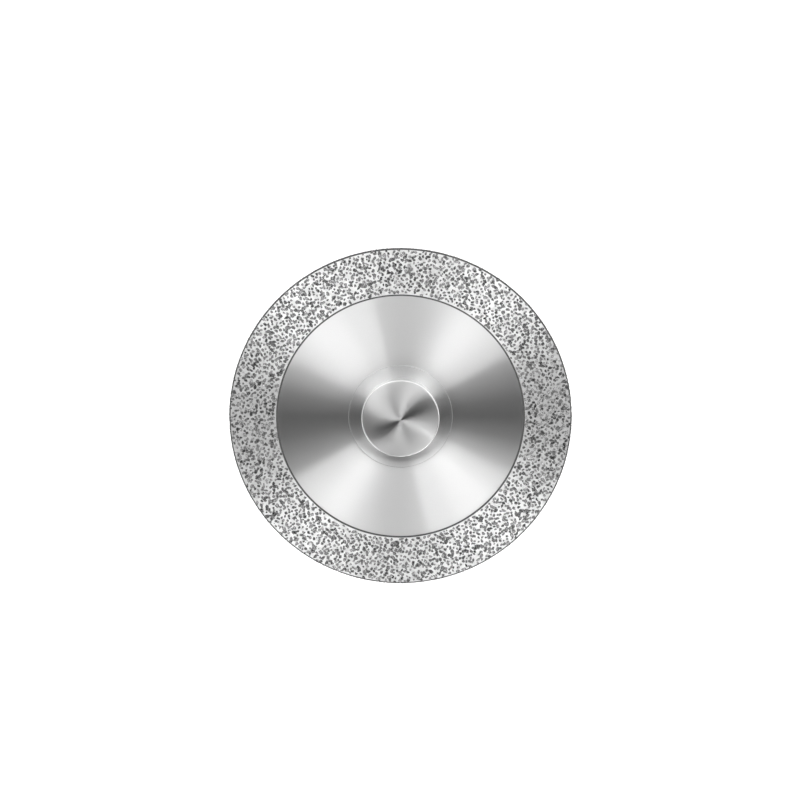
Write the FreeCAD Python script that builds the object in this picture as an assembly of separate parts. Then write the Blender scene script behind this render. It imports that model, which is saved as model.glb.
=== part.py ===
import FreeCAD, Part
import math
import os

# Flexible diamond disc on its turned mandrel. All sizes are in millimetres.
# A steel foil carries a band of diamond and nickel that wraps its rim. Two thin washers stiffen
# the foil at its centre, and a domed head with a pin clamps the stack on the shank's flange.
# The tool turns about Z. The origin is the centre of the shank's free end, and +Z points to the head.

# Overall size
overall_length = 44.5
disc_diameter = 22.0

# Foil and its coating
foil_thickness = 0.10
coat_width = 3.0
coat_thickness = 0.075
coat_corner_round = 0.05

# Reinforcing washers
washer_diameter = 6.7
washer_thickness = 0.065
washer_edge_break = 0.02

# Head and its pin
head_diameter = 5.0
head_side_height = 0.70
head_dome_rise = 0.47
head_edge_round = 0.12
pin_diameter = 1.8
pin_grip = 1.5
pin_end_chamfer = 0.15

# Shank, with the flange that the head clamps against
shank_diameter = 2.35
shank_end_chamfer = 0.3
flange_diameter = 5.0
flange_thickness = 0.6
flange_edge_round = 0.15
neck_diameter = 4.0
neck_flare_radius = 1.15
drill_point_angle = 118.0

# Clearances
stack_slip = 0.02
pin_end_gap = 0.2

# Levels along the axis, worked down from the top of the dome
head_seat = overall_length - head_dome_rise - head_side_height
foil_top = head_seat - washer_thickness
foil_bottom = foil_top - foil_thickness
flange_top = foil_bottom - washer_thickness
flange_bottom = flange_top - flange_thickness

# Radii that mating pieces share
disc_radius = disc_diameter / 2
foil_radius = disc_radius - coat_thickness
stack_bore_radius = pin_diameter / 2 + stack_slip

AXIS_POINT = FreeCAD.Vector(0, 0, 0)
AXIS_DIRECTION = FreeCAD.Vector(0, 0, 1)
FULL_TURN = 360


def at(radius, height):
    """A point of a turned outline, in the half-plane where Y is 0."""
    return FreeCAD.Vector(radius, 0, height)


def straight(start, end):
    """A straight edge of an outline."""
    return Part.LineSegment(start, end).toShape()


def polyline(points):
    """Straight edges from each point to the next."""
    return [straight(start, end) for start, end in zip(points, points[1:])]


def round_corner(centre, radius, start_angle, end_angle):
    """An arc of an outline about a centre, between two angles in degrees from the radial direction."""
    def on_arc(angle):
        turn = math.radians(angle)
        return centre + FreeCAD.Vector(radius * math.cos(turn), 0, radius * math.sin(turn))

    middle_angle = (start_angle + end_angle) / 2
    return Part.Arc(on_arc(start_angle), on_arc(middle_angle), on_arc(end_angle)).toShape()


def turned(edges):
    """The solid that a closed half-outline sweeps in one turn about the tool's axis."""
    outline = Part.Wire(edges)
    return Part.Face(outline).revolve(AXIS_POINT, AXIS_DIRECTION, FULL_TURN)


def circular_edges_at(solid, radius, height):
    """The edges of a turned solid that run round the axis at a given radius and height."""
    tolerance = 1e-5
    found = []
    for edge in solid.Edges:
        point = edge.Vertexes[0].Point
        same_height = abs(point.z - height) < tolerance
        same_radius = abs(math.hypot(point.x, point.y) - radius) < tolerance
        if same_height and same_radius and isinstance(edge.Curve, Part.Circle):
            found.append(edge)
    return found


def make_shank():
    """The shank: a plain clamping cylinder, a flared neck and a flange with a blind bore in its top."""
    shank_radius = shank_diameter / 2
    neck_radius = neck_diameter / 2
    flange_radius = flange_diameter / 2
    bore_radius = pin_diameter / 2

    # The flare is an arc that leaves the cylinder tangentially and meets the flange's lower face.
    arc_centre_radius = shank_radius + neck_flare_radius
    flare_height = math.sqrt(neck_flare_radius**2 - (arc_centre_radius - neck_radius) ** 2)
    flare_start = flange_bottom - flare_height
    arc_centre = at(arc_centre_radius, flare_start)
    flare_end_angle = 180 - math.degrees(math.asin(flare_height / neck_flare_radius))

    # The bore takes the head's pin, with a gap under the pin's end and a drill point below that.
    bore_floor = flange_top - pin_grip - pin_end_gap
    drill_point = bore_floor - bore_radius / math.tan(math.radians(drill_point_angle / 2))

    edges = polyline(
        [
            at(0, 0),
            at(shank_radius - shank_end_chamfer, 0),
            at(shank_radius, shank_end_chamfer),
            at(shank_radius, flare_start),
        ]
    )
    edges.append(round_corner(arc_centre, neck_flare_radius, 180, flare_end_angle))
    edges += polyline(
        [
            at(neck_radius, flange_bottom),
            at(flange_radius, flange_bottom),
            at(flange_radius, flange_top),
            at(bore_radius, flange_top),
            at(bore_radius, bore_floor),
            at(0, drill_point),
            at(0, 0),
        ]
    )
    shank = turned(edges)
    return shank.makeFillet(flange_edge_round, circular_edges_at(shank, flange_radius, flange_bottom))


def make_washer(bottom):
    """One reinforcing washer, with its outer edges lightly broken."""
    top = bottom + washer_thickness
    outer = washer_diameter / 2
    broken = outer - washer_edge_break
    outline = [
        at(stack_bore_radius, bottom),
        at(broken, bottom),
        at(outer, bottom + washer_edge_break),
        at(outer, top - washer_edge_break),
        at(broken, top),
        at(stack_bore_radius, top),
        at(stack_bore_radius, bottom),
    ]
    return turned(polyline(outline))


def make_carrier_disc():
    """The steel foil that runs from the pin to just inside the coated rim."""
    outline = [
        at(stack_bore_radius, foil_bottom),
        at(foil_radius, foil_bottom),
        at(foil_radius, foil_top),
        at(stack_bore_radius, foil_top),
        at(stack_bore_radius, foil_bottom),
    ]
    return turned(polyline(outline))


def make_diamond_rim():
    """The coating: one U-section that lies on both faces of the foil and wraps its rim."""
    inner = disc_radius - coat_width
    top = foil_top + coat_thickness
    bottom = foil_bottom - coat_thickness
    corner = disc_radius - coat_corner_round

    edges = polyline([at(inner, foil_bottom), at(inner, bottom), at(corner, bottom)])
    edges.append(round_corner(at(corner, bottom + coat_corner_round), coat_corner_round, -90, 0))
    edges.append(straight(at(disc_radius, bottom + coat_corner_round), at(disc_radius, top - coat_corner_round)))
    edges.append(round_corner(at(corner, top - coat_corner_round), coat_corner_round, 0, 90))
    edges += polyline(
        [
            at(corner, top),
            at(inner, top),
            at(inner, foil_top),
            at(foil_radius, foil_top),
            at(foil_radius, foil_bottom),
            at(inner, foil_bottom),
        ]
    )
    return turned(edges)


def make_domed_head():
    """The domed head and its pin, which passes through the stack and grips in the shank's bore."""
    head_radius = head_diameter / 2
    pin_radius = pin_diameter / 2
    side_top = head_seat + head_side_height
    pin_end = flange_top - pin_grip

    # The dome is a shallow spherical cap on the head's full width.
    dome_radius = (head_radius**2 + head_dome_rise**2) / (2 * head_dome_rise)
    dome_centre = at(0, overall_length - dome_radius)
    rim_angle = math.degrees(math.acos(head_radius / dome_radius))

    edges = polyline(
        [
            at(0, pin_end),
            at(pin_radius - pin_end_chamfer, pin_end),
            at(pin_radius, pin_end + pin_end_chamfer),
            at(pin_radius, head_seat),
            at(head_radius, head_seat),
            at(head_radius, side_top),
        ]
    )
    edges.append(round_corner(dome_centre, dome_radius, rim_angle, 90))
    edges.append(straight(at(0, overall_length), at(0, pin_end)))
    head = turned(edges)
    return head.makeFillet(head_edge_round, circular_edges_at(head, head_radius, side_top))


os.makedirs("parts", exist_ok=True)
pieces = {
    "shank": make_shank(),
    "rear_washer": make_washer(flange_top),
    "carrier_disc": make_carrier_disc(),
    "diamond_rim": make_diamond_rim(),
    "front_washer": make_washer(foil_top),
    "domed_head": make_domed_head(),
}
for name, piece in pieces.items():
    piece.exportStep(f"parts/{name}.step")
    print(f"{name}: {piece.Volume:.4f} mm3, valid {piece.isValid()}, solids {len(piece.Solids)}")
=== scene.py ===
# %% [markdown]
# # A flexible diamond disc on its mandrel
# The tool is a steel foil as thin as paper, with a band of diamond grains round its rim. Two thin
# washers and a domed head clamp it on a turned shank. The exact sizes are already drawn in CAD, so
# this lesson loads that model as a fixed frame and dresses it: turned and brushed steel, pale
# nickel, and thousands of small dark crystals.

# %% Load the frame
import math

import bpy
import numpy as np
from mathutils import Matrix, Vector


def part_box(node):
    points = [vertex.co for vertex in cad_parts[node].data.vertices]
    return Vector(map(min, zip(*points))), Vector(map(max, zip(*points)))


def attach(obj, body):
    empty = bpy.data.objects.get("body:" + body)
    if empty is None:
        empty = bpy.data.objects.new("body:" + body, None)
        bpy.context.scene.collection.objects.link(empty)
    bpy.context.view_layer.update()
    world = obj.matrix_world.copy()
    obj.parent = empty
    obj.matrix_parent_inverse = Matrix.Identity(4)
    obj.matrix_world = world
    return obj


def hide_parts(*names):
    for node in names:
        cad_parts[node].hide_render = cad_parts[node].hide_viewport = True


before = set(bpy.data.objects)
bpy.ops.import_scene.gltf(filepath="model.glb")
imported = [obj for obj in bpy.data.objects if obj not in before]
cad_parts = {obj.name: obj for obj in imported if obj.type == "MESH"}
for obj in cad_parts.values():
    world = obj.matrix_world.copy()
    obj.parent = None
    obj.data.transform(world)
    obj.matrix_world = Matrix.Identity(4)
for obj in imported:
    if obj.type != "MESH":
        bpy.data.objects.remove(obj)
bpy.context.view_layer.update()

# %% [markdown]
# Every size that a box can tell is read from the CAD nodes, in metres, so a change in the CAD model
# moves the dressing with it. The few sizes that no box tells, such as the width of the coating, are
# written with the piece that needs them, as millimetres times `MM`.

# %% Sizes from the frame
MM = 0.001


def levels(node):
    """The lowest and highest point of a CAD node, and its reach along X, a turned piece's radius."""
    low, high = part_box(node)
    return float(low[2]), float(high[2]), float(high[0])


shank_end, flange_top, flange_radius = levels("shank")
foil_bottom, foil_top, foil_radius = levels("carrier_disc")
rim_bottom, rim_top, disc_radius = levels("diamond_rim")
pin_end, dome_top, head_radius = levels("domed_head")
head_seat = levels("front_washer")[1]
disc_middle = (rim_bottom + rim_top) / 2

coat_width = 3.0 * MM
coat_inner_radius = disc_radius - coat_width
print(f"disc {2000 * disc_radius:.2f} mm across, head {2000 * head_radius:.2f} mm")
print(f"disc at {1000 * disc_middle:.3f} mm, dome top at {1000 * dome_top:.2f} mm")

# %% [markdown]
# The photograph looks almost straight down on the disc, from 12 degrees towards the top of the
# picture: the disc is a little less high than wide, and the raised head sits a little low. A long
# lens from over half a metre away keeps the circles true. The disc's width and the place of its
# centre are given in pixels of the picture, which is 800 pixels wide.

# %% Camera
PICTURE_PIXELS = 800
DISC_WIDTH_PIXELS = 342.3
DISC_RIGHT_PIXELS = 0.5
DISC_DROP_PIXELS = 16.1
VIEW_TILT = math.radians(12)
CAMERA_DISTANCE = 0.65
SENSOR = 36

pixel = 2 * disc_radius / DISC_WIDTH_PIXELS
picture_width = PICTURE_PIXELS * pixel
towards_camera = Vector((0, math.sin(VIEW_TILT), math.cos(VIEW_TILT)))
picture_up = Vector((0, math.cos(VIEW_TILT), -math.sin(VIEW_TILT)))
picture_right = picture_up.cross(towards_camera)
disc_centre = Vector((0, 0, disc_middle))
aim = disc_centre + (picture_up * DISC_DROP_PIXELS - picture_right * DISC_RIGHT_PIXELS) * pixel

lens = bpy.data.cameras.new("long_lens")
lens.sensor_width = SENSOR
lens.lens = SENSOR * CAMERA_DISTANCE / picture_width
camera = bpy.data.objects.new("camera", lens)
camera.location = aim + towards_camera * CAMERA_DISTANCE
camera.rotation_euler = Matrix((picture_right, picture_up, towards_camera)).transposed().to_euler()
bpy.context.collection.objects.link(camera)
scene = bpy.context.scene
scene.camera = camera
scene.view_settings.view_transform = "Standard"
print(f"lens {lens.lens:.0f} mm, picture {1000 * picture_width:.1f} mm wide at the disc")

# %% [markdown]
# A finish, or a sky, is a small graph of nodes. It could be wired by hand, socket by socket, but a
# formula is easier to read. The two classes below let it be written as arithmetic: `Signal` wraps
# one output and turns `a * b + 1` into Math nodes, and `Graph` adds every other node with one
# method that takes the node's type, its settings and what goes into its sockets.

# %% Signals
class Signal:
    """One number that a node gives out, with arithmetic that adds Math nodes."""

    def __init__(self, graph, socket):
        self.graph = graph
        self.socket = socket

    def math(self, operation, *values):
        """What one Math node makes of these values."""
        node = self.graph.node("ShaderNodeMath", {"operation": operation}, dict(enumerate(values)))
        return Signal(self.graph, node.outputs[0])

    def __add__(self, other):
        return self.math("ADD", self, other)

    def __radd__(self, other):
        return self.math("ADD", other, self)

    def __sub__(self, other):
        return self.math("SUBTRACT", self, other)

    def __rsub__(self, other):
        return self.math("SUBTRACT", other, self)

    def __mul__(self, other):
        return self.math("MULTIPLY", self, other)

    def __rmul__(self, other):
        return self.math("MULTIPLY", other, self)

    def __truediv__(self, other):
        return self.math("DIVIDE", self, other)

    def root(self):
        """The square root."""
        return self.math("SQRT", self)

    def between(self, low, high):
        """0 below low, 1 above high and a smooth step between them."""
        settings = {"interpolation_type": "SMOOTHSTEP"}
        node = self.graph.node("ShaderNodeMapRange", settings, {0: self, 1: low, 2: high})
        return Signal(self.graph, node.outputs[0])


# %% Graphs
class Graph:
    """A tree of shader nodes, to which one method adds any node."""

    def __init__(self, tree):
        self.tree = tree

    def node(self, kind, settings=None, inputs=None):
        """Adds a node: first its settings, then the values or links of its sockets."""
        node = self.tree.nodes.new(kind)
        for setting, value in (settings or {}).items():
            setattr(node, setting, value)
        for socket, value in (inputs or {}).items():
            self.feed(node.inputs[socket], value)
        return node

    def feed(self, socket, value):
        """Links a signal or another node's output to a socket, or sets the socket's own value."""
        if isinstance(value, Signal):
            self.tree.links.new(value.socket, socket)
        elif isinstance(value, bpy.types.NodeSocket):
            self.tree.links.new(value, socket)
        else:
            socket.default_value = value

    def split(self, vector):
        """The three parts of a vector, as signals."""
        node = self.node("ShaderNodeSeparateXYZ", inputs={0: vector})
        return [Signal(self, output) for output in node.outputs]

    def join(self, x, y, z):
        """A vector made of three parts."""
        return self.node("ShaderNodeCombineXYZ", inputs={0: x, 1: y, 2: z}).outputs[0]

    def dot(self, vector, way):
        """How far a vector reaches along a way: the sum of the products of their parts."""
        node = self.node("ShaderNodeVectorMath", {"operation": "DOT_PRODUCT"}, {0: vector, 1: way})
        return Signal(self, node.outputs["Value"])

    def noise(self, vector, scale, detail=2.0):
        """Soft random values about one half, with a grain of one over scale."""
        node = self.node("ShaderNodeTexNoise", inputs={"Vector": vector, "Scale": scale, "Detail": detail})
        return Signal(self, node.outputs[0])

    def tint(self, amount, first, second):
        """A colour that goes from the first to the second as the amount goes from 0 to 1."""
        node = self.node("ShaderNodeMix", {"data_type": "RGBA"}, {0: amount, 6: first, 7: second})
        return node.outputs[2]

    def steps(self, amount, stops):
        """A value that runs in straight lines through (place, value) stops, for an amount of 0 to 1."""
        node = self.node("ShaderNodeValToRGB", inputs={0: amount})
        ramp = node.color_ramp.elements
        while len(ramp) < len(stops):
            ramp.new(1.0)
        for element, (place, value) in zip(ramp, stops):
            element.position = place
            element.color = grey(value)
        return Signal(self, node.outputs[0])


def grey(value):
    """A neutral colour with full cover."""
    return (value, value, value, 1.0)


# %% [markdown]
# Steel brushed in circles spreads each light into a streak across the brushing, so a lamp shows on
# the disc as a bright wedge that points at the centre, with another one opposite. The photographed
# disc has bright wedges on its diagonals, grey ones at top and bottom and dark ones at the sides.
# Four lamps could make them, but a lamp's hard edges give every wedge the same outline. A sky that
# glows in a soft band all round, brighter and dimmer as the wedges ask, gives each its own edges,
# like a light tent with panels of different cloth.
#
# A scratch mirrors a light to the camera if it lies square to the direction half-way between the
# two. So the tent's brightness is a profile over the compass angle of that half-way direction. Half
# a turn is enough, because a scratch looks the same from both its ends. The profile is multiplied by
# a band between two tilts off the way in which the disc's face mirrors the camera. The band is
# brighter towards the top of the picture, which shows on the domed head. A pale ring along the
# horizon is the studio's wall, with two brighter stripes for the upright shank to mirror.

# %% Light tent
TENT_GLOW = 7.6
TENT_INNER = (40, 46)
TENT_OUTER = (64, 74)
TENT_LEAN = 0.55
SKY_GLOW = 0.10
WALL_GLOW = 1.1
WALL_EDGE = (0.06, 0.14)
STRIPE_GLOW = 1.5
STRIPE_TURN = 0.6
STRIPE_EDGE = (-0.2, 0.9)
WEDGES = (
    (0, 0.02), (10, 0.06), (22, 0.20), (28, 0.30), (33, 0.70), (44, 0.88), (52, 1.0), (60, 0.94),
    (70, 0.68), (80, 0.53), (90, 0.50), (101, 0.57), (106, 0.83), (116, 0.84), (124, 1.0),
    (138, 0.98), (149, 0.76), (155, 0.42), (168, 0.12), (180, 0.02),
)

sky = bpy.data.worlds.new("light_tent")
sky.use_nodes = True
tent = Graph(sky.node_tree)
mirror_way = Vector((0, -math.sin(VIEW_TILT), math.cos(VIEW_TILT)))
north = mirror_way.cross(Vector((1, 0, 0)))

way = tent.node("ShaderNodeTexCoord").outputs["Generated"]
way_x, way_y, way_z = tent.split(way)
half_turns = way_y.math("ARCTAN2", way_y + towards_camera.y, way_x + towards_camera.x) / math.pi
stops = [(degrees / 180, level) for degrees, level in WEDGES]
# Two half turns are added, so that no angle is below zero where its whole half turns are dropped.
wedge = tent.steps(half_turns.math("FRACT", half_turns + 2.0), stops)
way_north, way_axis = tent.dot(way, north), tent.dot(way, mirror_way)
tilt = way_axis.math("ARCCOSINE", way_axis) * (180 / math.pi)
band = tilt.between(*TENT_INNER) * (1 - tilt.between(*TENT_OUTER))
wall = 1 - way_z.math("ABSOLUTE", way_z).between(*WALL_EDGE)
compass = way_y.math("ARCTAN2", way_y, way_x)
stripes = compass.math("COSINE", (compass - STRIPE_TURN) * 2).between(*STRIPE_EDGE)
lean = way_north * way_north * way_north * TENT_LEAN + 1.0
glow = wedge * band * lean * TENT_GLOW + wall * (stripes * STRIPE_GLOW + WALL_GLOW) + SKY_GLOW
tent.feed(sky.node_tree.nodes["Background"].inputs["Strength"], glow)
tent.feed(sky.node_tree.nodes["Background"].inputs["Color"], grey(1.0))
scene.world = sky
print(f"tent between {TENT_INNER[0]} and {TENT_OUTER[1]} degrees off the mirror's way")

# %% [markdown]
# One low lamp stands in front on the right. The disc's face hardly sees it, but it draws a bright
# line down the shank in the side views.

# %% Low lamp
LAMP_FROM_DISC = (0.26, -0.36, 0.02)
LAMP_WIDTH = 0.05
LAMP_HEIGHT = 0.20
LAMP_GLOW = 6.0

lamp_place = disc_centre + Vector(LAMP_FROM_DISC)
lamp = bpy.data.lights.new("low_lamp", "AREA")
lamp.shape = "RECTANGLE"
lamp.size = LAMP_WIDTH
lamp.size_y = LAMP_HEIGHT
lamp.energy = LAMP_GLOW * lamp.size * lamp.size_y * math.pi
low_lamp = bpy.data.objects.new("low_lamp", lamp)
low_lamp.location = lamp_place
low_lamp.rotation_euler = (lamp_place - disc_centre).to_track_quat("Z", "Y").to_euler()
bpy.context.collection.objects.link(low_lamp)
print(f"low lamp of {1000 * lamp.energy:.0f} mW")

# %% [markdown]
# A material starts as a graph with one shader in it. Numbers that are the same all over the surface
# are set on the shader itself, and what changes over the surface is fed into it. A stain or a
# duller edge is a second shader, laid over the first with a mask.

# %% Finishes
class Finish(Graph):
    """A material, made of one surface shader and the nodes that feed it."""

    def __init__(self, name, **numbers):
        self.material = bpy.data.materials.new(name)
        self.material.use_nodes = True
        super().__init__(self.material.node_tree)
        self.surface = self.tree.nodes["Principled BSDF"]
        self.result = self.surface.outputs[0]
        for socket, value in numbers.items():
            self.set(socket.replace("_", " "), value)

    def set(self, socket, value):
        """Feeds one socket of the surface shader."""
        self.feed(self.surface.inputs[socket], value)

    def lay_over(self, share, kind="ShaderNodeBsdfPrincipled", **numbers):
        """Lays another shader over what is there. It covers the given share of the surface."""
        inputs = {socket.replace("_", " "): value for socket, value in numbers.items()}
        layer = self.node(kind, inputs=inputs)
        mix = self.node("ShaderNodeMixShader", inputs={0: share, 1: self.result, 2: layer.outputs[0]})
        self.result = mix.outputs[0]
        self.feed(self.tree.nodes["Material Output"].inputs["Surface"], self.result)
        return layer

    def place(self):
        """The point's place in the tool's own frame, in metres, as one vector."""
        return self.node("ShaderNodeTexCoord").outputs["Object"]

    def parts(self, place):
        """The three parts of a place and its distance from the axis: the root of x^2 + y^2."""
        x, y, z = self.split(place)
        return x, y, z, (x * x + y * y).root()

    def bump(self, height, distance):
        """Tips the surface as if it stood up by height times distance, in metres."""
        self.normal = self.node("ShaderNodeBump", inputs={"Height": height, "Distance": distance}).outputs[0]
        self.set("Normal", self.normal)


# %% [markdown]
# The floor is a plain pale sheet under the tool, so bright that it leaves the picture's ground
# white. It is one square face, because nothing on it needs more.

# %% Floor
FLOOR_REACH = 3.0
FLOOR_GAP = 0.02 * MM
PAPER_GRAIN = 900

floor_level = shank_end - FLOOR_GAP
floor_finish = Finish("pale_floor", Roughness=0.9)
paper = floor_finish.noise(floor_finish.place(), PAPER_GRAIN, 3.0)
floor_finish.set("Base Color", floor_finish.tint(paper, grey(0.73), grey(0.77)))

corners = [(-1, -1), (1, -1), (1, 1), (-1, 1)]
sheet = bpy.data.meshes.new("floor")
sheet.from_pydata([(FLOOR_REACH * a, FLOOR_REACH * b, floor_level) for a, b in corners], [], [(0, 1, 2, 3)])
sheet.materials.append(floor_finish.material)
floor = bpy.data.objects.new("floor", sheet)
bpy.context.collection.objects.link(floor)
print(f"floor {2 * FLOOR_REACH:.0f} m wide at {1000 * floor_level:.2f} mm")

# %% [markdown]
# ## Brushed and turned steel
# Each steel piece was spun while a fine abrasive or a cutting edge passed over it, so its scratches
# are circles round the axis. A shader can stand for scratches too fine to see: an anisotropic
# highlight, stretched across them. The standard shader stretches it ten to one at most, which blurs
# the edges of the wedges. It stays as the soft ground, with its rotation at a quarter turn so that
# the scratches run round Z, and a sharper mirror layer covers most of it. That layer's scratches run
# round Z by themselves. The scratches that can be seen are drawn as noise that is squeezed along the
# radius and along the axis and stretched round it, so one recipe serves a flat face and a cylinder.
# The steel has tiny pits too. They scatter light, which gives the foil's dark wedges a grain.

# %% Steel recipe
ROUND_THE_AXIS = 0.25
NARROWEST = math.sqrt(0.1)
UNEVEN = 0.08
SCRATCH = 0.06 * MM
SCRATCH_DEPTH = 0.0006 * MM
RING = 8 * SCRATCH
ROUND_TRIP = 1.2
# How many grains of each noise lie side by side in a metre.
SPECKLES = 9000
WEAR = 350
PITS = 19000


def lay_streaks(finish, share, tone, across, along, turn=0.0):
    """A mirror that is rough across its scratches and nearly smooth along them.

    The shader's own numbers are one roughness r and a stretch s. Across the scratches the surface
    is as rough as r squared over (1 - s), and along them as r squared times (1 - s). The drawn
    scratches move r up and down by half of UNEVEN.
    """
    finish.lay_over(
        share,
        "ShaderNodeBsdfAnisotropic",
        Color=grey(tone),
        Roughness=finish.scratches * UNEVEN + ((across * along) ** 0.25 - UNEVEN / 2),
        Anisotropy=1 - math.sqrt(along / across),
        Rotation=-turn,
        Normal=finish.normal,
    )


def brushed_steel(name, tone, across, along, turn=0.0, pitting=0.0):
    """Bright steel with circular scratches. Turn slants the invisible ones, in turns.

    The scratches are noise at (radius / scratch + cos a * trip, z / scratch, sin a * trip) for the
    angle a about the axis. So they change within a scratch's width along the radius and the axis,
    and only a few times on their way round.
    """
    finish = Finish(
        name,
        Metallic=1.0,
        Anisotropic=1.0,
        Anisotropic_Rotation=ROUND_THE_AXIS - turn,
    )
    place = finish.place()
    x, y, z, radius = finish.parts(place)
    fine = finish.join(radius / SCRATCH + x / radius * ROUND_TRIP, z / SCRATCH, y / radius * ROUND_TRIP)
    speckle = finish.noise(place, SPECKLES)
    scratches = finish.noise(fine, 1.0, 3.0) * 0.7 + speckle * 0.3
    rings = finish.noise(finish.join(radius / RING, z / RING, 0.0), 1.0)
    wear = finish.noise(place, WEAR)
    shade = scratches * 0.5 + rings * 0.3 + wear * 0.2
    finish.scratches = scratches
    finish.radius = radius
    finish.height = z
    finish.set("Base Color", finish.tint(shade, grey(tone * 0.84), grey(tone * 1.14)))
    roughness = math.sqrt(across * NARROWEST)
    # Each noise is one half on average, so half of the two shares is taken off again.
    finish.set("Roughness", scratches * 0.06 + wear * 0.04 + (roughness - 0.05))
    finish.bump(scratches, SCRATCH_DEPTH)
    lay_streaks(finish, scratches * 0.2 + 0.8, tone, across, along, turn)
    pits = finish.noise(place, PITS).between(0.40, 0.65)
    finish.lay_over(pits * pitting, Base_Color=grey(0.95), Metallic=1.0, Roughness=0.6)
    return finish


# %% [markdown]
# The foil and the two washers keep their CAD meshes, because flat discs need no finer surface. A thin dark
# line is painted on the foil just inside the plated band, a painted shadow of the coating's step. The
# washers' outer edges are darker and a little duller, with no brushing there.

# %% Foil and washers
STEP_SHADOW_INSIDE = 0.13 * MM
STEP_SHADOW_SOFT = 0.03 * MM
WASHER_EDGE = 0.03 * MM
SHEET = {"tone": 0.66, "across": 0.6, "along": 0.012, "pitting": 0.06}

foil_finish = brushed_steel("brushed_foil", **SHEET)
# A thin dark ring just inside the coating is painted on the foil: painted shadow of the coating's step.
step_shadow_start = coat_inner_radius - STEP_SHADOW_INSIDE
painted_step_shadow = foil_finish.radius.between(step_shadow_start, step_shadow_start + STEP_SHADOW_SOFT)
foil_finish.lay_over(painted_step_shadow, Base_Color=grey(0.04), Roughness=0.6)

washer_finish = brushed_steel("brushed_washer", **SHEET)
washer_radius = levels("front_washer")[2]
# The washers' outer edges get a darker, duller finish without brushing.
darker_edge = washer_finish.radius.between(washer_radius - WASHER_EDGE, washer_radius - WASHER_EDGE / 2)
washer_finish.lay_over(darker_edge, Base_Color=grey(0.38), Metallic=1.0, Roughness=0.5)

for node, finish in (
    ("carrier_disc", foil_finish),
    ("front_washer", washer_finish),
    ("rear_washer", washer_finish),
):
    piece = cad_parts[node]
    piece.data.materials.clear()
    piece.data.materials.append(finish.material)
    print(f"{node} wears {finish.material.name}")

# %% [markdown]
# ## Turned surfaces
# A lathe makes a piece from its outline and one turn. The CAD mesh shows its flat facets on a round
# piece under a stretched highlight, so the head, the shank and the coating are turned again here
# with finer steps. Blender's Screw modifier could do it, but a formula keeps the poles closed.

# %% The lathe
TURNS = 256
SHARP_ANGLE = math.radians(40)
ROUND_STEPS = 8
CORNER_STEPS = 7
FLARE_STEPS = 24
DOME_STEPS = 40


def new_piece(name, points, faces, finish):
    """A mesh object at the origin that rides on the tool. Its faces are lists of point numbers."""
    mesh = bpy.data.meshes.new(name)
    mesh.from_pydata(points.tolist(), [], faces)
    mesh.materials.append(finish.material)
    piece = bpy.data.objects.new(name, mesh)
    bpy.context.collection.objects.link(piece)
    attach(piece, "root")
    print(f"{name}: {len(points)} points, {len(faces)} faces")
    return piece


def turned_piece(name, outline, finish, closed_ring=False):
    """A surface of revolution.

    The point at outline step i and angle a is (r_i cos a, r_i sin a, h_i). A closed ring joins its
    last step to its first. Any other outline starts and ends on the axis, in one point each, which
    a fan of triangles joins to the nearest ring.
    """
    outline = np.asarray(outline, float)
    rows = outline if closed_ring else outline[1:-1]
    steps = len(rows)
    angles = np.linspace(0, 2 * np.pi, TURNS, endpoint=False)
    radius, height = rows[:, :1], rows[:, 1:]
    grid = np.stack([radius * np.cos(angles), radius * np.sin(angles), height + 0 * angles], axis=-1)
    points = grid.reshape(-1, 3)

    here = np.arange(TURNS)
    after = (here + 1) % TURNS
    low = np.arange(steps if closed_ring else steps - 1)[:, None] * TURNS
    high = (low + TURNS) % (steps * TURNS)
    quads = np.stack([low + here, low + after, high + after, high + here], axis=-1)
    faces = quads.reshape(-1, 4).tolist()
    if not closed_ring:
        points = np.vstack([points, [[0, 0, outline[0, 1]], [0, 0, outline[-1, 1]]]])
        first = np.full(TURNS, steps * TURNS)
        last = first + 1
        top = (steps - 1) * TURNS
        faces += np.stack([first, after, here], axis=-1).tolist()
        faces += np.stack([last, top + here, top + after], axis=-1).tolist()

    piece = new_piece(name, points, faces, finish)
    piece.data.polygons.foreach_set("use_smooth", np.ones(len(faces), bool))
    piece.data.set_sharp_from_angle(angle=SHARP_ANGLE)
    return piece


def arc(centre_radius, centre_height, radius, start, end, steps):
    """Points of an arc in the outline's plane: centre plus radius times (cos a, sin a), in degrees."""
    turn = np.radians(np.linspace(start, end, steps))
    return np.stack([centre_radius + radius * np.cos(turn), centre_height + radius * np.sin(turn)], axis=-1)


# %% [markdown]
# ## The domed head
# The head is a low dome with a short straight side and a small round between them, turned in one with the pin
# that holds the stack. Its last cut left the finest marks slanted, like a spiral, so its wedges of light
# stand turned against the foil's. The side was brushed square to the axis and mirrors the foil. The round
# between them is painted pale and matt, a painted highlight that shows as a thin light ring.

# %% Head
pin_radius = 0.9 * MM
pin_chamfer = 0.15 * MM
dome_rise = 0.47 * MM
head_round = 0.12 * MM
SIDE_FADE = 0.03 * MM
HIGHLIGHT_RING = (0.04 * MM, 0.02 * MM)
HEAD_SLANT = 0.084

dome_ball = (head_radius**2 + dome_rise**2) / (2 * dome_rise)
dome_centre = dome_top - dome_ball
round_radius = head_radius - head_round
round_height = dome_centre + math.sqrt((dome_ball - head_round) ** 2 - round_radius**2)
round_end = math.degrees(math.atan2(round_height - dome_centre, round_radius))
head_outline = np.vstack([
    [(0, pin_end), (pin_radius - pin_chamfer, pin_end), (pin_radius, pin_end + pin_chamfer)],
    [(pin_radius, head_seat), (head_radius, head_seat)],
    arc(round_radius, round_height, head_round, 0, round_end, ROUND_STEPS),
    arc(0, dome_centre, dome_ball, round_end, 90, DOME_STEPS)[1:],
])

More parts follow.
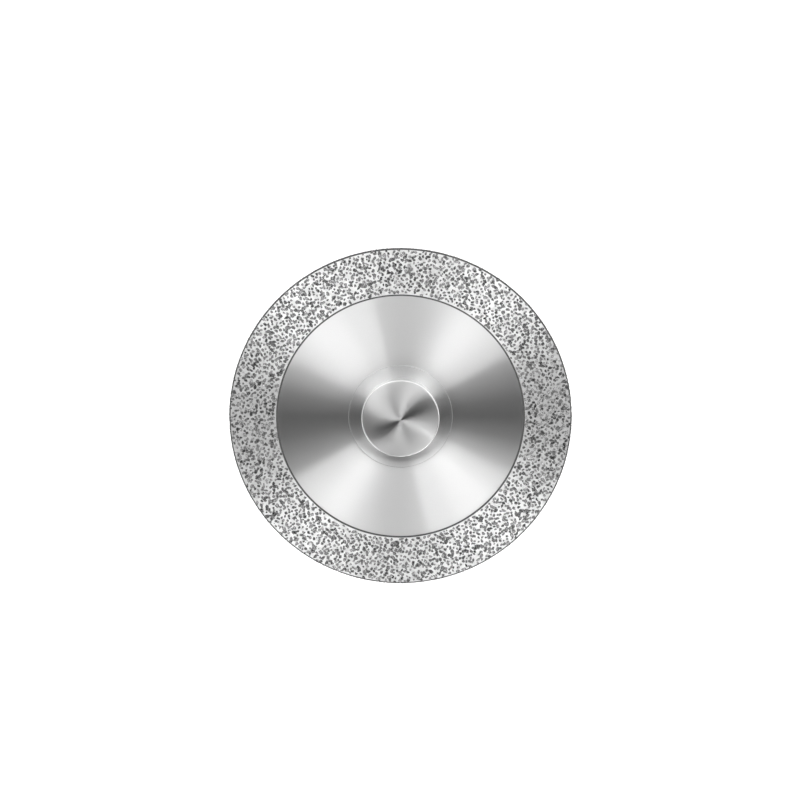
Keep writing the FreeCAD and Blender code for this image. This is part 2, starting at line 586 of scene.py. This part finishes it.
head_finish = brushed_steel("turned_head", tone=0.42, across=0.6, along=0.012, turn=HEAD_SLANT)
side = 1 - head_finish.height.between(round_height - SIDE_FADE, round_height)
lay_streaks(head_finish, side, tone=0.50, across=0.6, along=0.02)
# The round's pale, matt colour is a painted highlight ring.
ring_start, ring_end = [head_radius - inside for inside in HIGHLIGHT_RING]
painted_highlight_ring = head_finish.radius.between(ring_start, ring_end) * (1 - side)
head_finish.lay_over(painted_highlight_ring, Base_Color=grey(0.75), Metallic=1.0, Roughness=0.75)
head = turned_piece("head_dressed", head_outline, head_finish)
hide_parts("domed_head")

# %% [markdown]
# ## The shank
# The mandrel is turned from bar: a clamping cylinder with a chamfered end, a flare that leaves it
# tangentially, and a flange with a blind bore for the pin. Its cylinder is ground, so it is
# smoother than the disc and mirrors its surroundings in soft vertical stripes.

# %% Shank
shank_radius = 1.175 * MM
shank_chamfer = 0.3 * MM
neck_radius = 2.0 * MM
flare = 1.15 * MM
flange_thickness = 0.6 * MM
flange_round = 0.15 * MM
bore_depth = 1.7 * MM
DRILL_ANGLE = math.radians(118)

flange_bottom = flange_top - flange_thickness
drill_point = pin_radius / math.tan(DRILL_ANGLE / 2)
flare_height = math.sqrt(flare**2 - (shank_radius + flare - neck_radius) ** 2)
flare_end = 180 - math.degrees(math.asin(flare_height / flare))
bore_floor = flange_top - bore_depth
shank_outline = np.vstack([
    [(0, shank_end), (shank_radius - shank_chamfer, shank_end), (shank_radius, shank_end + shank_chamfer)],
    arc(shank_radius + flare, flange_bottom - flare_height, flare, 180, flare_end, FLARE_STEPS),
    arc(flange_radius - flange_round, flange_bottom + flange_round, flange_round, -90, 0, ROUND_STEPS),
    [(flange_radius, flange_top), (pin_radius, flange_top), (pin_radius, bore_floor)],
    [(0, bore_floor - drill_point)],
])
shank_finish = brushed_steel("turned_shank", tone=0.32, across=0.2, along=0.03, pitting=0.04)
shank = turned_piece("shank_dressed", shank_outline, shank_finish)
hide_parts("shank")

# %% [markdown]
# ## The nickel of the coating
# The grains are held by nickel plated up round them. It is pale and lumpy. It grew on the brushed foil and
# copies it, so about half of it still shines in streaks. At the outer corner it is painted dark and dull, a
# painted shade of the rounded edge that draws a thin line round the disc. The ring's outline is the CAD
# coating's, a U round the foil's rim.

# %% Nickel
coat_corner = 0.05 * MM
RIM_SHADE_WIDTH = 0.10 * MM
RIM_SHADE_SOFT = 0.03 * MM
LUMPS = 5200
LUMP_HEIGHT = 0.008 * MM
PATCHES = 2600

nickel = Finish("pale_nickel", Metallic=1.0, Roughness=0.6)
place = nickel.place()
lumps = nickel.noise(place, LUMPS, 3.0)
patches = nickel.noise(place, PATCHES).between(0.35, 0.65)
from_axis = nickel.parts(place)[3]
# The outer corner is painted dark: painted shade of the rounded edge, a thin line round the disc.
rim_shade_start = disc_radius - RIM_SHADE_WIDTH
painted_rim_shade = from_axis.between(rim_shade_start, rim_shade_start + RIM_SHADE_SOFT)
nickel.scratches = lumps
nickel.set("Base Color", nickel.tint(patches, grey(0.62), grey(0.93)))
nickel.bump(lumps, LUMP_HEIGHT)
lay_streaks(nickel, patches * 0.2 + 0.45, tone=0.72, across=0.6, along=0.05)
nickel.lay_over(painted_rim_shade, Base_Color=grey(0.03), Roughness=0.85)

rim_outline = np.vstack([
    [(coat_inner_radius, foil_bottom), (coat_inner_radius, rim_bottom)],
    arc(disc_radius - coat_corner, rim_bottom + coat_corner, coat_corner, -90, 0, CORNER_STEPS),
    arc(disc_radius - coat_corner, rim_top - coat_corner, coat_corner, 0, 90, CORNER_STEPS),
    [(coat_inner_radius, rim_top), (coat_inner_radius, foil_top)],
    [(foil_radius, foil_top), (foil_radius, foil_bottom)],
])
rim = turned_piece("nickel_rim", rim_outline, nickel, closed_ring=True)
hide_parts("diamond_rim")

# %% [markdown]
# ## The diamond grains
# A grain is a blunt crystal that stands a little out of the nickel. One shape for all would show its repeats,
# and a particle system can't be exported, so every grain is its own small solid with six uneven sides: a
# hexagon sunk in the nickel and a smaller, tipped one above it. Each grain has a random tone, and on top of
# that its steep sides are painted dark as painted shade and its top lighter as a painted highlight, kept on
# the faces.

# %% One grain, many times
rng = np.random.default_rng(22)
SIDES = 6
SUNK = 0.012 * MM
LOWEST_TOP = 0.004 * MM
CORNER_SHIFT = 0.28
CORNER_REACH = (0.55, 1.15)
STRETCH = (0.9, 1.6)
TOP_SLOPE = 0.14

step = np.arange(SIDES)
after = (step + 1) % SIDES
fan = np.arange(1, SIDES - 1)
WALLS = np.concatenate([
    np.stack([step, after, after + SIDES], axis=1),
    np.stack([step, after + SIDES, step + SIDES], axis=1),
])
TOP = np.stack([0 * fan, fan, fan + 1], axis=1) + SIDES
BASE = np.stack([0 * fan, fan + 1, fan], axis=1)


def crystals(name, centres, normals, reach_limits, widths, taper, heights, wall_shade_tones, top_highlight_tones):
    """Small blunt crystals on a surface.

    Corner k of a grain lies at angle 60 k degrees plus a random part, at half its width times a
    random reach, in the plane that touches the surface. The hexagon is then stretched one way and
    spun. The low hexagon is sunk, and the high one is the low one times taper, lifted by the
    grain's height plus a random slope. Corners stay between the two limits of distance from the
    axis, so no grain overhangs the band's edges.
    """
    count = len(centres)
    upright = np.abs(normals[:, 2:]) > 0.5
    side = np.cross(np.where(upright, [[1.0, 0, 0]], [[0, 0, 1.0]]), normals)
    side /= np.linalg.norm(side, axis=1, keepdims=True)
    across = np.cross(normals, side)
    turn = (step + rng.uniform(-CORNER_SHIFT, CORNER_SHIFT, (count, SIDES))) * 2 * np.pi / SIDES
    reach = rng.uniform(*CORNER_REACH, (count, SIDES)) * widths[:, None] / 2
    spin = rng.uniform(0, 2 * np.pi, (count, 1))
    stretch = rng.uniform(*STRETCH, (count, 1))
    long = reach * np.cos(turn) * stretch
    short = reach * np.sin(turn)
    a = long * np.cos(spin) - short * np.sin(spin)
    b = long * np.sin(spin) + short * np.cos(spin)
    slope = rng.normal(0, TOP_SLOPE, (2, count, 1))

    def ring(scale, lift):
        """The hexagon's corners: centre plus the scaled corner offsets plus lift along the normal."""
        flat = (a * scale)[..., None] * side[:, None] + (b * scale)[..., None] * across[:, None]
        return centres[:, None] + flat + lift[..., None] * normals[:, None]

    low = ring(1.0, np.full((count, SIDES), -SUNK))
    scale = taper[:, None]
    high = ring(scale, np.maximum(heights[:, None] + (slope[0] * a + slope[1] * b) * scale, LOWEST_TOP))
    points = np.concatenate([low, high], axis=1).reshape(-1, 3)
    radius = np.hypot(points[:, 0], points[:, 1])
    points[:, :2] *= (np.clip(radius, *reach_limits) / radius)[:, None]
    pattern = np.concatenate([WALLS, TOP, BASE])
    faces = (np.arange(count)[:, None, None] * 2 * SIDES + pattern).reshape(-1, 3)
    piece = new_piece(name, points, faces.tolist(), diamond)

    # The walls keep a dark tone as painted shade and the tops a lighter one as a painted highlight.
    tones_and_shade = np.repeat(wall_shade_tones[:, None], len(pattern), axis=1)
    tones_and_shade[:, len(WALLS):len(WALLS) + len(TOP)] = top_highlight_tones[:, None]
    kept = piece.data.attributes.new("grain_tone_and_shade", "FLOAT", "FACE")
    kept.data.foreach_set("value", tones_and_shade.ravel().astype(np.float32))
    return piece


# %% [markdown]
# Diamond is hard and glossy, so even its dark faces flash. The shader bends light less than a real diamond
# does, because the full strength would wash the dark faces out. The colour follows the tone that each face
# keeps, a random tone with painted shade on the sides and a painted highlight on the tops, from nearly black
# to pale grey, with clearer and darker spots inside. The tops were dressed level on a turning stone, so parts
# of them shine in the nickel's streaks.

# %% Diamond finish
FLAWS = 14000
FLAW_DEPTH = 0.003 * MM

diamond = Finish("diamond_grain", Roughness=0.25, IOR=1.55)
# The face tone holds painted shade on the walls and a painted highlight on the tops.
tone = diamond.node("ShaderNodeAttribute", {"attribute_name": "grain_tone_and_shade"}).outputs["Fac"]
flaws = diamond.noise(diamond.place(), FLAWS)
shade = Signal(diamond, tone) * (flaws.between(0.3, 0.7) * 1.6 + 0.2)
diamond.set("Base Color", diamond.tint(shade, grey(0.005), grey(0.80)))
diamond.scratches = flaws
diamond.bump(flaws, FLAW_DEPTH)
lay_streaks(diamond, flaws.between(0.35, 0.75) * 0.3, tone=0.70, across=0.6, along=0.08)

# %% [markdown]
# Plated grains lie one beside the other, with nickel in the gaps: nowhere bare and nowhere heaped.
# Random places would clump, so the grains start as a sunflower's seeds do, each turned by the golden
# angle from the last one and a little further out, which spaces them evenly over the whole band.
# A random shift then hides the pattern and lets some grains touch in short chains. Small grains
# fill a few of the gaps.

# %% Grains on the faces
GRAINS = 2950
SMALL_GRAINS = 800
# Each grain's width and height are drawn between two numbers of millimetres.
GRAIN_WIDTH = (0.17, 0.32)
GRAIN_HEIGHT = (0.015, 0.035)
SMALL_WIDTH = (0.07, 0.14)
SMALL_HEIGHT = (0.01, 0.02)
GRAIN_SHIFT = 0.047 * MM
INNER_GAP = 0.06 * MM
OUTER_GAP = 0.10 * MM
EDGE_GAP = 0.01 * MM
GOLDEN_ANGLE = math.pi * (3 - math.sqrt(5))


def band_places(radius, angle):
    """Points of a flat band: (radius cos angle, radius sin angle)."""
    return np.stack([radius * np.cos(angle), radius * np.sin(angle)], axis=-1)


def face_grains(name, height, direction):
    """Grains on one face of the band.

    Seed k of n lies at the root of inner^2 + (k + 1/2) / n * (outer^2 - inner^2) from the axis, at
    k golden angles. Small grains take the root of an even draw between the two squares.
    """
    inner, outer = coat_inner_radius + INNER_GAP, disc_radius - OUTER_GAP
    seed = np.arange(GRAINS)
    squares = inner**2 + (seed + 0.5) / GRAINS * (outer**2 - inner**2)
    even = band_places(np.sqrt(squares), seed * GOLDEN_ANGLE)
    even += rng.normal(0, GRAIN_SHIFT, even.shape)
    angle = rng.uniform(0, 2 * np.pi, SMALL_GRAINS)
    small = band_places(np.sqrt(rng.uniform(inner**2, outer**2, SMALL_GRAINS)), angle)
    places = np.vstack([even, small])
    radius = np.hypot(places[:, 0], places[:, 1])
    places *= (np.clip(radius, inner, outer) / radius)[:, None]
    count = len(places)
    is_large = np.arange(count) < GRAINS
    return crystals(
        name,
        np.column_stack([places, np.full(count, height)]),
        np.tile([0.0, 0.0, direction], (count, 1)),
        (coat_inner_radius + EDGE_GAP, disc_radius - EDGE_GAP),
        widths=np.where(is_large, rng.uniform(*GRAIN_WIDTH, count), rng.uniform(*SMALL_WIDTH, count)) * MM,
        taper=rng.uniform(0.60, 0.85, count),
        heights=np.where(is_large, rng.uniform(*GRAIN_HEIGHT, count), rng.uniform(*SMALL_HEIGHT, count)) * MM,
        # Dark walls are painted shade, and lighter tops are a painted highlight.
        wall_shade_tones=rng.uniform(0.0, 0.05, count),
        top_highlight_tones=rng.uniform(0.0, 0.42, count) ** 1.5,
    )


face_grains("diamond_grains_front", rim_top, 1.0)
face_grains("diamond_grains_rear", rim_bottom, -1.0)

# %% [markdown]
# The rim's outer wall cuts first, so it carries grains too. They sit on a cylinder only a quarter
# of a millimetre high, and each faces away from the axis.

# %% Grains on the rim
RIM_GRAINS = 1100
RIM_STAND = 0.02 * MM

angle = rng.uniform(0, 2 * np.pi, RIM_GRAINS)
outward = np.column_stack([np.cos(angle), np.sin(angle), np.zeros(RIM_GRAINS)])
wall_height = rng.uniform(rim_bottom + coat_corner, rim_top - coat_corner, RIM_GRAINS)
centres = outward * disc_radius
centres[:, 2] = wall_height
crystals(
    "diamond_grains_rim",
    centres,
    outward,
    (coat_inner_radius, disc_radius + RIM_STAND),
    widths=rng.uniform(0.08, 0.15, RIM_GRAINS) * MM,
    taper=rng.uniform(0.45, 0.75, RIM_GRAINS),
    heights=rng.uniform(0.006, 0.02, RIM_GRAINS) * MM,
    # Dark walls are painted shade, and lighter tops are a painted highlight.
    wall_shade_tones=rng.uniform(0.0, 0.08, RIM_GRAINS),
    top_highlight_tones=rng.uniform(0.0, 0.20, RIM_GRAINS),
)
